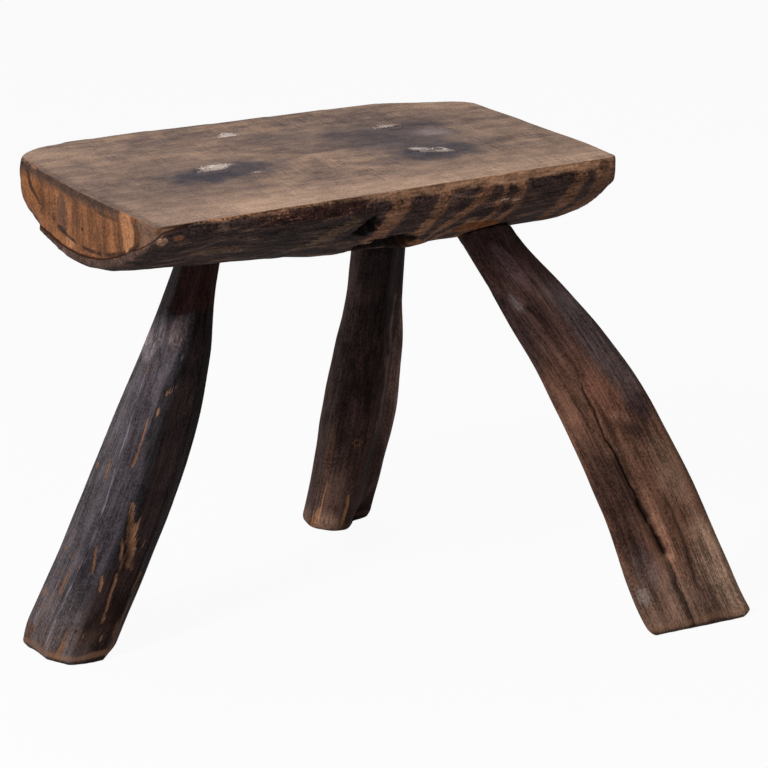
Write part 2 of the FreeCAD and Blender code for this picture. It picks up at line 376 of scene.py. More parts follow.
rough_bark = 0.0013 * waves(points, (18, 42, 42), 3.1) + 0.0008 * waves(points, (55, 130, 130), 8.4)
rough_bark += 0.0010 * waves(points, (30, 9, 30), 5.7)
relief = barked * rough_bark + end_face * 0.0007 * waves(points, (40, 90, 25), 2.2)
relief += upward * (0.0004 * waves(points, (14, 30, 14), 6.6) - 0.0003)
relief -= FACET_DEPTH * facet

jagged = 1 + 0.9 * waves(points, (120, 120, 120), 1.3)
knot_spot = hump(local, KNOT_HOLE, (0.0115, 0.026, 0.0160)) * jagged
knot_hole = ease(knot_spot, 0.28, 0.46)
hollow = hump(local, HOLLOW, (0.013, 0.014, 0.012))
broken_spot = hump(local, BROKEN, (0.030, 0.036, 0.024)) * jagged
broken = ease(broken_spot, 0.22, 0.45)
tan_run = along_run(local, *TAN_RUN, 0.0085)
lip = hump(local, LIP, (0.024, 0.024, 0.014))
relief += TAN_RAISED * tan_run + LIP_RAISED * lip
relief -= KNOT_DEPTH * knot_hole + HOLLOW_DEPTH * hollow + BROKEN_DEPTH * broken
left_belly = 1.4 * ease(local[:, 0], -0.03, -0.06)
right_belly = ease(local[:, 0], 0.12, 0.14)
belly = ease(normals[:, 2], -0.2, -0.5) * np.maximum(left_belly, right_belly)
relief -= BELLY_WORN * belly * barked * ease(from_left, 0.03, 0.07)
sideward = ease(np.abs(normals[:, 1]), 0.1, 0.6) * barked
torn_edge = ease(local[:, 2], -0.012, 0) * sideward
relief -= torn_edge * TORN_DEPTH * (1 + waves(points, (45, 20, 60), 4.4))

points = points + normals * relief[:, None]
points -= outward * worn_in[:, None]
sunk = END_SUNK * end_face * ease(local[:, 2], -0.004, -0.014) * ease(local[:, 1], 0.110, 0.045)
points[:, 0] += sunk * np.where(local[:, 0] < 0, 1, -1)
points[:, 1] -= BACK_CORNER_IN * ease(local[:, 0], -0.09, -0.19) * ease(local[:, 1], 0.09, 0.14)
right_edge = ease(from_right, 0.02, 0) * ease(local[:, 2], -0.03, -0.01) * ease(local[:, 1], -0.14, -0.08)
points[:, 0] += RIGHT_EDGE_OUT * right_edge
for out, centre, radii in LEFT_END_HUMPS:
    points[:, 0] -= out * hump(local, centre, radii)
write(seat.data, points)
paint(seat.data, "side", 1 - upward)
paint(seat.data, "cut", np.clip(endward + barked * at_corner, 0, 1))
paint(seat.data, "facet", barked * at_corner)
paint(seat.data, "reach", reach)
# Painted shade: the knot hole, the broken recess and the hollow get a mask that darkens them nearly black,
# as shade falls in them.
shaded_pits = np.maximum(ease(knot_spot, 0.14, 0.30), ease(broken_spot, 0.10, 0.26))
paint(seat.data, "pit_shade", np.maximum(0.7 * hollow, shaded_pits))
paint(seat.data, "tan_run", tan_run)
paint_top(seat.data, points)


SAW_TILT = math.radians(6)


def worn_top(shade, place):
    """The top's colour and relief, shared by the seat, the tenons' ends and the wedges."""
    x, y = (shade.node("SeparateXYZ", {}, {0: place}, axis) for axis in range(2))
    fibre = shade.grain(place, (22, 330, 60))
    streak = shade.grain(place, (4, 48, 40))
    cloud = shade.grain(place, (10, 15, 9))
    tilted = shade.node("VectorRotate", {"rotation_type": "Z_AXIS"}, {"Vector": place, "Angle": SAW_TILT})
    scratch = shade.grain(tilted, (360, 12, 9), 2.0)
    scratch = scratch.step(0.25, 1.0) - scratch.step(-0.25, -1.0)
    speck = shade.grain(place, (560, 330, 300), 2.0)
    cross = x.step(-0.15, 0.05) * shade.grain(place, (8, 10, 9), 2.0).step(-0.6, 0.6) * 0.24 + 0.15
    mottle = shade.grain(place, (50, 70, 30))
    level = 0.86 + fibre * 0.20 + streak * 0.09 + cloud * 0.18 + mottle * 0.17 + speck * 0.24
    level = level + scratch * cross
    warm = (cloud * 0.5 + streak * 0.3 + mottle * 0.35 + 0.5).step(0.0, 1.0)
    tone = warm.over(seen(118, 99, 92), seen(146, 120, 102))
    front_band = (y + cloud * 0.014 + streak * 0.006).step(-0.072, -0.138) * x.step(-0.25, -0.10)
    right_end = (x + cloud * 0.02).step(0.13, 0.21) * 0.25
    back_left = shade.spot(place, (-0.20, 0.10, 0), (0.12, 0.08, 1.0), 0.1) * 0.25
    tone = (front_band * 0.9).most(right_end).most(back_left).over(tone, seen(170, 141, 121))
    left_haze = shade.spot(place, (-0.17, -0.02, 0), (0.12, 0.12, 1.0), 0.3) * 0.5
    tone = left_haze.over(tone, seen(112, 93, 85))
    left_edge = (x + mottle * 0.002).step(-0.213, -0.223)
    back_edge = (y + mottle * 0.003).step(0.139, 0.152) * x.step(0.10, 0.0)
    tone = (left_edge.most(back_edge) * 0.55).over(tone, seen(84, 69, 64))
    stain = shade.mask("stain")
    tone = (stain * (1.15 + scratch * 0.25 + fibre * 0.25)).step(0.0, 1.0).over(tone, seen(70, 67, 74))
    haze = shade.spot(place, (0.134, 0.016, 0), (0.028, 0.022, 1.0), 0.2) * 0.70
    tone = haze.over(tone, seen(140, 126, 126))
    pale = (shade.mask("pale") + fibre * 0.22 + speck * 0.30 - 0.08).step(0.15, 0.95)
    pale = pale * (1 - shade.spot(place, (0.105, -0.042, 0), (0.0056, 0.0056, 1.0), 0.5) * 0.9)
    tone = pale.over(tone, seen(196, 181, 172))
    height = fibre * 0.06 + speck * 0.05 + scratch * cross * 0.4 + pale * 0.3
    return level.lit(tone), height


SEAT_ROUGHNESS = 0.62
BARK_ROUGHER = 0.14
STRIPE_SOFT = 0.0024
RING_MIDDLE = (0.0, -0.020, 0.020)
RING_SHARES = (0.0, 1 / 0.125, 1 / 0.068)
# Dark stripes left on the belly: middle and half width along the log.
BARK_STRIPES = (
    (-0.018, 0.012), (0.026, 0.014), (0.068, 0.0120), (0.099, 0.0060), (0.117, 0.0050),
    (0.1555, 0.0235), (0.199, 0.0050),
)
# Spots on the left end: across, up, half width, half height, strength and colour.
END_SPOTS = (
    (-0.100, -0.016, 0.015, 0.030, 0.80, seen(176, 122, 86)),
    (0.009, -0.050, 0.012, 0.008, 0.7, seen(166, 114, 82)),
    (0.024, -0.030, 0.015, 0.024, 0.7, seen(80, 58, 48)),
    (-0.135, -0.010, 0.022, 0.034, 0.80, seen(108, 83, 68)),
    (-0.064, -0.011, 0.024, 0.003, 0.6, seen(62, 42, 32)),
    (-0.084, -0.022, 0.0022, 0.018, 0.5, seen(70, 46, 34)),
    (0.026, -0.043, 0.016, 0.004, 0.7, seen(48, 34, 29)),
    (0.042, -0.036, 0.006, 0.006, 0.5, seen(50, 34, 28)),
    (-0.017, -0.033, 0.0032, 0.0022, 0.9, seen(34, 22, 18)),
    (0.066, -0.022, 0.007, 0.022, 0.5, seen(70, 46, 33)),
    (0.090, -0.020, 0.040, 0.030, 0.5, seen(128, 82, 52)),
)
# Spots on the bark: place, radii, strength and colour.
BARK_SPOTS = (
    ((-0.217, -0.153, -0.014), (0.0056, 0.02, 0.0062), 0.8, seen(150, 114, 92)),
    ((-0.203, -0.155, -0.012), (0.0064, 0.02, 0.0032), 0.7, seen(146, 90, 60)),
    ((-0.156, -0.122, -0.037), (0.030, 0.02, 0.009), 0.5, seen(96, 76, 60)),
    ((-0.064, -0.107, -0.050), (0.016, 0.02, 0.009), 0.6, seen(102, 80, 62)),
    ((0.048, -0.083, -0.066), (0.018, 0.02, 0.009), 0.7, seen(150, 98, 62)),
    ((0.108, -0.100, -0.057), (0.030, 0.02, 0.012), 0.6, seen(126, 72, 34)),
    ((0.111, -0.139, -0.024), (0.006, 0.02, 0.0016), 0.8, seen(170, 150, 138)),
    ((0.125, -0.136, -0.027), (0.006, 0.02, 0.0016), 0.8, seen(170, 150, 138)),
    ((0.211, -0.142, -0.007), (0.008, 0.02, 0.007), 0.7, seen(58, 38, 28)),
    ((-0.156, -0.152, 0.000), (0.050, 0.02, 0.0032), 0.8, seen(164, 112, 74)),
)


def seat_wood():
    """Worn top, streaked end grain and scraped bark, each where its mask says, with painted shade in the
    pits and a painted shadow line under the bark's lip.
    """
    material, shader, shade = new_finish("seat_wood", specular=0.05)
    place = shade.vector("SUBTRACT", shade.node("TexCoord", {}, {}, "Object"), seat_middle)
    x, y, z = (shade.node("SeparateXYZ", {}, {0: place}, axis) for axis in range(3))
    top, top_height = worn_top(shade, place)

    ray = shade.grain(place, (20, 150, 14))
    band = shade.grain(place, (20, 36, 6), 2.0)
    blotch = shade.grain(place, (30, 50, 50))
    streaky = shade.grain(place, (20, 95, 10), 2.0)
    light = (band * 0.5 + streaky * 0.4 + blotch * 0.3 + 0.5).step(-0.2, 1.2)
    end = light.over(seen(80, 52, 36), seen(146, 96, 63))
    end = ((ray + band * 0.4).step(0.6, 1.3) * 0.45).over(end, seen(58, 38, 28))
    for spot_y, spot_z, width, tall, strength, colour in END_SPOTS:
        spot = shade.spot(place, (seat_low[0] - seat_middle[0], spot_y, spot_z), (0.05, width, tall), 0.45)
        end = ((spot + (ray + blotch) * 0.22).step(0.2, 0.8) * strength).over(end, colour)
    dashes = (shade.grain(place, (40, 60, 60), 1.0) + 0.35).step(-0.1, 0.4) * y.step(0.045, 0.025)
    arc = dashes.most(y.step(0.06, 0.075)) * y.step(-0.125, -0.115)
    spread = shade.vector("MULTIPLY", shade.vector("SUBTRACT", place, RING_MIDDLE), RING_SHARES)
    ring = shade.node("VectorMath", {"operation": "LENGTH"}, {0: spread}, "Value") + blotch * 0.010 - 1.0
    ring = ring.absolute().step(0.034, 0.012) * arc
    end = (ring * 0.85).over(end, seen(48, 32, 27))
    top_grime = (z + band * 0.0024 + ray * 0.0014).step(-0.0135, -0.0030) * y.step(-0.12, -0.07)
    end = (top_grime * 0.85).over(end, seen(58, 47, 43))
    end = (0.90 + ray * 0.14 + blotch * 0.12 + shade.grain(place, (400, 420, 560), 2.0) * 0.50).lit(end)

    rough = shade.grain(place, (26, 75, 75), 4.0)
    strand = shade.grain(place, (60, 360, 360))
    grit = shade.grain(place, (460, 600, 600), 2.0)
    bark = (rough * 0.7 + strand * 0.4).step(-0.1, 1.0).over(seen(56, 44, 42), seen(104, 79, 67))
    slant = (z + 0.016) * 0.6 * x.step(0.05, 0.07) * x.step(0.105, 0.09)
    bare_x = x - slant + rough * 0.0030 + strand * 0.0014 + shade.grain(place, (20, 20, 20), 1.0) * 0.004
    scraped = (x + rough * 0.01).step(-0.03, 0.0)
    for stripe_x, half in BARK_STRIPES:
        away = (bare_x - stripe_x).absolute()
        scraped = scraped * (1 - away.step(half + STRIPE_SOFT, half - STRIPE_SOFT) * 0.92)
    under_bark = (rough * 0.5 + 0.5).step(0.0, 1.0).over(seen(102, 70, 55), seen(134, 96, 73))
    bark = scraped.over(bark, under_bark)
    right_end = (x + rough * 0.006).step(0.196, 0.212)
    bark = (right_end * 0.7).over(bark, seen(98, 69, 53))
    torn = (z + rough * 0.002).step(-0.018, -0.014) * x.step(-0.15, -0.11) * x.step(-0.014, -0.034)
    fresh = (strand * 0.5 + grit * 0.5).step(0.2, 0.9).over(seen(54, 33, 29), seen(150, 100, 72))
    bark = (torn * 0.8).over(bark, fresh)
    tan_rim = (z + rough * 0.0022 + strand * 0.001).step(-0.0104, -0.0058) * x.step(-0.034, -0.004)
    left_rim = (z + rough * 0.0018).step(-0.0050, -0.0020) * 0.55
    bark = (tan_rim * 0.8).most(left_rim).over(bark, seen(154, 115, 89))
    tan_mark = (shade.mask("tan_run") + strand * 0.3).step(0.35, 0.8)
    bark = (tan_mark * 0.55).over(bark, seen(112, 88, 68))
    flake = shade.grain(place, (45, 110, 110), 2.0).step(0.75, 1.3) * x.step(0.02, -0.02)
    bark = (flake * 0.6).over(bark, seen(112, 86, 66))
    for spot_at, radii, strength, colour in BARK_SPOTS:
        spot = shade.spot(place, spot_at, radii, 0.4)
        bark = ((spot + rough * 0.26 + grit * 0.16).step(0.2, 0.7) * strength).over(bark, colour)
    bark = (0.92 + rough * 0.50 + strand * 0.44 + grit * (0.85 - tan_rim * 0.50)).most(0.15).lit(bark)

    side = shade.mask("side")
    cut = shade.mask("cut")
    front_cut = shade.mask("facet")
    bark = ((cut - front_cut) * 0.30).over(bark, (1.0 + rough * 0.5 + grit * 0.6).lit(seen(108, 80, 68)))
    reach = shade.mask("reach") + grit * 0.0004
    bark_mask = side * (1 - reach.step(-0.0005, 0.0005) * cut)
    end_mask = side * (1 - bark_mask)
    end = (front_cut * 0.9).over(end, (1.0 + ray * 0.3 + blotch * 0.15).lit(seen(124, 91, 70)))
    colour = bark_mask.over(side.over(top, end), bark)
    # Painted shadow: a thin dark line along the bark's edge, under its raised lip.
    lip_shadow = (reach - 0.0006).absolute().step(0.0014, 0.0004) * cut
    colour = (lip_shadow * 0.9).over(colour, seen(34, 17, 12))
    # Painted shade in the knot hole, the broken recess and the hollow.
    colour = (shade.mask("pit_shade") * 0.94).over(colour, seen(12, 9, 8))
    end_height = end_mask * (ray * 0.14 + blotch * 0.1)
    bark_height = bark_mask * (rough * 0.8 + strand * 0.32 + grit * 0.10)
    roughness = SEAT_ROUGHNESS + bark_mask * BARK_ROUGHER + rough * 0.04
    finish_with(shader, shade, colour, roughness, top_height + end_height + bark_height)
    return material


seat.data.materials.append(seat_wood())
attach(seat, "root")
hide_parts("seat")


# Legs: three hewn branches, almost black with age and handling, each with its own shape.
# The left one has adze facets and pale chips, the front one is a broad split slab with a long
# crack, and the back one is a round branch with a flute. Their tenons show in the seat's top.

LEG_VOXELS = {"left_leg": TOP_HEIGHT / 372, "front_leg": TOP_HEIGHT / 342, "back_leg": TOP_HEIGHT / 375}
BROAD_TURN = math.radians(-30.5)
BROAD = np.array([math.cos(BROAD_TURN), math.sin(BROAD_TURN), 0])
DEEP = np.array([-math.sin(BROAD_TURN), math.cos(BROAD_TURN), 0])
SLICES = 60
SEAT_UNDERSIDE = 0.34
TENON_FLARE = 0.0026
GRAIN_STRETCH = 1.06
MARK_FADE = 0.012
FORM_FADE = 0.070
WANDER_SHARE = {"arris": 0.3, "chip": 0.35}
CHIP_RAGGED = 0.8
KNOT_RAISED = 0.0012
FLAT_SOLE = 0.004
LEG_ROUGHNESS = 0.74
FLECK_REACH = 0.006
FLECK_WIDTH = 0.0012
FLECK_CUT = 0.0006


def leg_places(points):
    """Each vertex's height share, its side and depth shares, and its place along the grain."""
    height = points[:, 2]
    edges = np.linspace(0, height.max(), SLICES + 1)
    slots = np.clip(np.digitize(height, edges) - 1, 0, SLICES - 1)
    middles = (edges[1:] + edges[:-1]) / 2
    rows = []
    for across in (points @ BROAD, points @ DEEP):
        low = np.array([across[slots == slot].min() for slot in range(SLICES)])
        high = np.array([across[slots == slot].max() for slot in range(SLICES)])
        centre = np.interp(height, middles, (low + high) / 2)
        rows.append((across - centre, np.interp(height, middles, (high - low) / 2)))
    (side, half_side), (deep, half_deep) = rows
    grain = np.stack([side, deep, height * GRAIN_STRETCH], 1)
    return height / seat_high[2], side / half_side, deep / half_deep, half_side, grain


def hewn_leg(node, rounds, ripple, lines, knots):
    """Carves a leg: adze ripples, cracks, ridges, chips and knots down its front, and a flared tenon."""
    leg = hewn_copy(node, LEG_VOXELS[node])
    soften(leg.data, read(leg.data, "co")[:, 2] < SEAT_UNDERSIDE, rounds)
    points = read(leg.data, "co")
    normals = read(leg.data, "normal")
    height, side, deep, half_side, grain = leg_places(points)
    facing = ease(deep, 0.35, 0.0)
    relief = ripple * waves(grain, (26, 26, 7), 1.7) + 0.0004 * waves(grain, (110, 110, 12), 4.2)
    relief += 0.6 * ripple * waves(grain, (60, 60, 30), 7.7) + ripple * waves(grain, (14, 14, 16), 3.3)
    ragged = waves(grain, (210, 210, 30), 2.6)
    wander = 0.0016 * waves(grain, (1, 1, 60), 2.9) + 0.0009 * waves(grain, (1, 1, 170), 5.9)
    marks = {kind: np.zeros(len(points)) for kind in ("crack", "chip", "arris", "crack_shade")}
    bulge = np.zeros(len(points))
    for kind, width, cut, path in lines:
        heights, sides = np.array(path).T
        away = (side - np.interp(height, heights, sides)) * half_side + wander * WANDER_SHARE.get(kind, 1.0)
        fade = MARK_FADE if kind in marks else FORM_FADE
        low_end = ease(height, heights[0] - fade, heights[0] + fade)
        high_end = ease(height, heights[-1] + fade, heights[-1] - fade)
        mark = np.exp(-(away / width) ** 2) * low_end * high_end * facing
        if kind == "chip":
            mark = np.clip(mark * (1 + CHIP_RAGGED * ragged), 0, 1)
        if kind in marks:
            relief -= cut * mark
            marks[kind] = np.maximum(marks[kind], mark)
        else:
            bulge -= cut * mark
    for knot_height, knot_side, radius in knots:
        away = np.hypot((height - knot_height) * seat_high[2], (side - knot_side) * half_side) / radius
        relief += KNOT_RAISED * (np.exp(-(away - 1) ** 2 * 6) - np.exp(-away ** 2 * 3)) * facing
        core = 0.5 * np.exp(-(away * 1.8) ** 2) * facing
        ring = 0.48 * np.exp(-(away - 0.8) ** 2 * 3) * (1 + 0.9 * ragged) * facing
        marks["crack"] = np.maximum(marks["crack"], core)
        marks["chip"] = np.maximum(marks["chip"], ring)
    in_mortise = ease(points[:, 2], SEAT_UNDERSIDE - 0.02, SEAT_UNDERSIDE + 0.02)
    relief *= ease(points[:, 2], 0, FLAT_SOLE) * (1 - in_mortise)
    across = np.outer(grain[:, 0], BROAD) + np.outer(grain[:, 1], DEEP)
    across /= np.maximum(np.linalg.norm(across, axis=1), 0.001)[:, None]
    bulge *= np.clip(np.hypot(side, deep), 0, 1) * ease(points[:, 2], SEAT_UNDERSIDE + 0.02, SEAT_UNDERSIDE)
    points = points + normals * relief[:, None] + across * bulge[:, None]
    at_top = points[:, 2] > seat_high[2] - 0.001
    centre = points[at_top].mean(0)
    flare = TENON_FLARE * ease(points[:, 2], seat_high[2] - 0.008, seat_high[2] - 0.001)
    outward = points - centre
    outward[:, 2] = 0
    points += outward / np.maximum(np.linalg.norm(outward, axis=1), 0.004)[:, None] * flare[:, None]
    write(leg.data, points)
    for name, mark in marks.items():
        paint(leg.data, name, mark)
    paint(leg.data, "grain", grain)
    paint(leg.data, "height", height)
    paint(leg.data, "side", side)
    paint(leg.data, "tenon_end", ease(points[:, 2], seat_high[2] - 0.003, seat_high[2] - 0.001))
    paint_top(leg.data, points)
    return leg


def leg_wood(name, tone, contrast, zones, arris, bare_tone, bare_cover, fleck, fleck_low, foot_line, seed):
    """Old hewn wood along the leg's own grain, with bare chips, cracks, a worn foot and painted light and
    shade.
    """
    material, shader, shade = new_finish(name, specular=0.03)
    place = shade.node("TexCoord", {}, {}, "Object")
    z = shade.node("SeparateXYZ", {}, {0: place}, 2)
    along = shade.node("Attribute", {"attribute_name": "grain"}, {}, "Vector")
    along = shade.vector("ADD", along, (seed, seed * 0.7, seed * 0.3))
    height = shade.mask("height")
    side = shade.mask("side")
    fibre = shade.grain(along, (760, 760, 12), 2.0)
    streak = shade.grain(along, (120, 120, 5))
    cloud = shade.grain(along, (26, 26, 11))
    grit = shade.grain(along, (640, 640, 420), 2.0)
    colour = tone
    drifted = {0: height + cloud * 0.012, 1: side + cloud * 0.10 + streak * 0.06}
    zone_place = shade.node("CombineXYZ", {}, drifted)
    for zone_height, zone_side, tall, wide, core, strength, zone_tone in zones:
        spot = shade.spot(zone_place, (zone_height, zone_side, 0), (tall, wide, 1), core)
        colour = (spot * strength).over(colour, zone_tone)
    lumps = shade.grain(along, (75, 75, 40))
    groove = shade.grain(along, (400, 400, 3), 2.0).step(0.55, 1.1)
    level = fibre * 0.44 + streak * 0.32 + cloud * 0.36 + grit * 0.48 + lumps * 0.36 - groove * 0.24
    colour = (0.95 + level * contrast).most(0.38).lit(colour)
    splinter = shade.grain(along, (230, 230, 20), 2.0) + shade.grain(along, (50, 50, 14), 1.0) * 0.7
    bare = (splinter + height.step(0.45, 0.0) * fleck_low).step(1.10, 1.45) * fleck
    chip = (shade.mask("chip") + fibre * 0.28 + grit * 0.10).step(0.30, 0.62)
    pale = (0.9 + fibre * 0.50 + cloud * 0.30 + grit * 0.4).most(0.2).lit(bare_tone)
    colour = (chip.most(bare) * bare_cover).over(colour, pale)
    # Worn arrises painted lighter; on the back leg's ridge this is also a painted highlight.
    worn_arris_and_highlight = (shade.mask("arris") + fibre * 0.25 + lumps * 0.45).step(0.45, 1.3) * 0.58
    colour = worn_arris_and_highlight.over(colour, arris)
    # Painted shade along the cracks.
    colour = (shade.mask("crack_shade") * 0.70).over(colour, seen(36, 25, 21))
    below_line = (z + cloud * 0.0030 + grit * 0.0012).step(0.0110, 0.0080)
    above_sole = (z + cloud * 0.001).step(0.0040, 0.0060)
    colour = (below_line * above_sole * foot_line).over(colour, seen(132, 96, 73))
    # The bottom few millimetres are darkened: the sole's dark end grain, and painted shade where the foot
    # meets the floor.
    colour = (z.step(0.0045, 0.0025) * 0.6).over(colour, seen(40, 30, 27))
    crack = (shade.mask("crack") + fibre * 0.12).step(0.25, 0.9)
    colour = (crack * 0.85).over(colour, seen(26, 18, 15))
    seat_place = shade.vector("SUBTRACT", place, seat_middle)
    top, top_height = worn_top(shade, seat_place)
    tenon_end = shade.mask("tenon_end")
    colour = tenon_end.over(colour, top)
    leg_height = fibre * 0.16 + streak * 0.34 + grit * 0.08 - chip.most(bare) * 0.35
    relief = leg_height * (1 - tenon_end) + top_height * tenon_end
    finish_with(shader, shade, colour, LEG_ROUGHNESS + streak * 0.04 + chip * 0.1, relief)
    return material


# A line down a leg's front: its kind, half width, depth cut, and path as height and side shares.
# Cracks, chips and worn arrises are also coloured; dark lines are painted shade along cracks. Ridges and
# hollows only shape the leg.
LEFT_LINES = (
    ("arris", 0.0012, -0.0004, (
        (0.030, -0.45), (0.146, -0.43), (0.261, -0.39), (0.334, -0.41), (0.409, -0.50))),
    ("arris", 0.0008, -0.0004, ((0.409, -0.50), (0.504, -0.52), (0.604, -0.60))),
    ("arris", 0.0012, -0.0003, ((0.625, 0.25), (0.645, 0.27))),
    ("chip", 0.0019, 0.0012, ((0.413, -0.16), (0.440, -0.15))),
    ("chip", 0.0008, 0.0006, ((0.440, -0.15), (0.511, -0.16))),
    ("chip", 0.0028, 0.0022, ((0.290, 0.28), (0.344, 0.12))),
    ("chip", 0.0044, 0.0028, ((0.195, 0.62), (0.247, 0.45), (0.300, 0.26))),
    ("chip", 0.0013, 0.0010, ((0.216, 0.36), (0.265, 0.20))),
    ("chip", 0.0014, 0.0010, ((0.185, -0.10), (0.246, -0.26))),
    ("chip", 0.0017, 0.0012, ((0.156, 0.16), (0.191, 0.09))),
    ("chip", 0.0015, 0.0012, ((0.086, 0.48), (0.193, 0.37))),
    ("chip", 0.0014, 0.0008, ((0.141, 0.85), (0.180, 0.86))),
    ("chip", 0.0013, 0.0010, ((0.371, -0.62), (0.413, -0.66))),
    ("chip", 0.0034, 0.0014, ((0.561, 0.12), (0.574, 0.20))),
    ("crack", 0.0022, 0.0016, ((0.235, 0.62), (0.255, 0.57))),
    ("crack_shade", 0.0045, 0.0, ((0.200, 0.60), (0.232, 0.51))),
    ("ridge", 0.0120, -0.0012, ((0.100, 0.98), (0.700, 0.98))),
    ("hollow", 0.0120, 0.0010, ((0.050, -0.98), (0.600, -0.98))),
    ("hollow", 0.0240, 0.0165, ((-0.100, -0.85), (0.0, -0.85))),
    ("ridge", 0.0180, -0.0115, ((-0.100, 0.42), (0.0, 0.42))),
    ("hollow", 0.0100, 0.0018, ((0.800, -0.98), (0.860, -0.98))),
    ("ridge", 0.0100, -0.0012, ((0.780, 0.98), (0.860, 0.98))),
)
LEFT_FLECKS = (
    (0.527, 0.02), (0.393, -0.89), (0.220, -0.83), (0.172, -0.81), (0.125, -0.89), (0.096, -0.84),
    (0.047, -0.83), (0.213, -0.63), (0.199, -0.43), (0.080, -0.36), (0.070, -0.10), (0.062, 0.20),
    (0.053, 0.57), (0.110, 0.00), (0.600, -0.58),
)
LEFT_LINES += tuple(
    ("chip", FLECK_WIDTH, FLECK_CUT, ((at - FLECK_REACH, across), (at + FLECK_REACH, across)))
    for at, across in LEFT_FLECKS)
FRONT_LINES = (
    ("crack_shade", 0.0055, 0.0, (
        (0.160, -0.16), (0.203, -0.20), (0.242, -0.24), (0.300, -0.27), (0.375, -0.29))),
    ("crack_shade", 0.0030, 0.0, ((0.0, -0.12), (0.088, -0.13), (0.150, -0.12))),
    ("crack_shade", 0.0014, 0.0, ((0.065, 0.27), (0.104, 0.26), (0.205, 0.34), (0.284, 0.32))),
    ("crack", 0.0008, 0.0006, ((0.0, -0.09), (0.088, -0.09), (0.158, -0.07))),
    ("crack", 0.0030, 0.0056, ((0.158, -0.07), (0.207, -0.11))),
    ("crack", 0.0018, 0.0040, ((0.207, -0.11), (0.232, -0.14))),
    ("crack", 0.0036, 0.0066, ((0.232, -0.14), (0.258, -0.16), (0.285, -0.18))),
    ("crack", 0.0016, 0.0034, ((0.285, -0.18), (0.319, -0.21), (0.383, -0.21), (0.418, -0.25))),
    ("crack", 0.0012, 0.0020, ((0.418, -0.25), (0.476, -0.22), (0.524, -0.18))),
    ("ridge", 0.0065, -0.0034, (
        (0.060, 0.06), (0.120, 0.03), (0.186, 0.09), (0.241, 0.05), (0.300, 0.00), (0.360, -0.04))),
    ("ridge", 0.0120, -0.0016, ((0.425, 0.05), (0.500, 0.04), (0.530, 0.00))),
    ("hollow", 0.0100, 0.0026, ((0.170, -0.38), (0.260, -0.46), (0.330, -0.50))),
    ("crack", 0.0040, 0.0008, ((0.413, 0.24), (0.418, 0.26))),
    ("arris", 0.0013, -0.0006, ((0.424, 0.19), (0.439, -0.06))),
    ("arris", 0.0008, 0.0, ((0.200, -0.36), (0.216, -0.56))),
    ("arris", 0.0008, 0.0, ((0.298, 0.71), (0.308, 0.71))),
    ("arris", 0.0008, 0.0, ((0.130, 0.54), (0.140, 0.54))),
    ("arris", 0.0008, 0.0, ((0.255, 0.72), (0.265, 0.72))),
    ("chip", 0.0010, 0.0004, ((0.706, 0.18), (0.712, 0.18))),
    ("hollow", 0.0060, 0.0022, ((0.560, -0.98), (0.565, -0.98))),
    ("ridge", 0.0100, -0.0022, ((0.620, -0.98), (0.800, -0.98))),
    ("hollow", 0.0100, 0.0026, ((0.760, 0.98), (0.850, 0.98))),
    ("ridge", 0.0120, -0.0022, ((-0.050, -0.98), (0.200, -0.98))),
)
BACK_LINES = (
    ("chip", 0.0030, 0.0010, ((0.006, -0.70), (0.066, -0.59))),
    ("chip", 0.0011, 0.0006, ((0.070, -0.58), (0.135, -0.53))),
    ("chip", 0.0015, 0.0006, ((0.020, 0.11), (0.072, 0.14), (0.105, 0.12))),
    ("arris", 0.0030, -0.0010, ((0.250, 0.50), (0.339, 0.56), (0.381, 0.56), (0.459, 0.57))),
    ("arris", 0.0018, -0.0006, ((0.459, 0.57), (0.533, 0.65), (0.606, 0.76))),
    ("hollow", 0.0050, 0.0026, ((0.100, 0.72), (0.339, 0.76), (0.459, 0.78), (0.533, 0.86))),
    ("hollow", 0.0120, 0.0215, ((-0.100, 0.97), (0.050, 0.94))),
    ("ridge", 0.0090, -0.0028, ((0.750, 0.98), (0.760, 0.98))),
    ("hollow", 0.0090, 0.0026, ((0.665, 0.98), (0.670, 0.98))),
    ("ridge", 0.0090, -0.0026, ((0.590, 0.98), (0.600, 0.98))),
    ("hollow", 0.0100, 0.0022, ((0.300, 0.98), (0.500, 0.98))),
    ("ridge", 0.0120, -0.0018, ((0.350, -0.98), (0.800, -0.98))),
    ("ridge", 0.0120, -0.0016, ((-0.050, -0.98), (0.150, -0.98))),
)
# A knot: its height and side shares and its radius.
BACK_KNOTS = ((0.243, 0.05, 0.0042),)
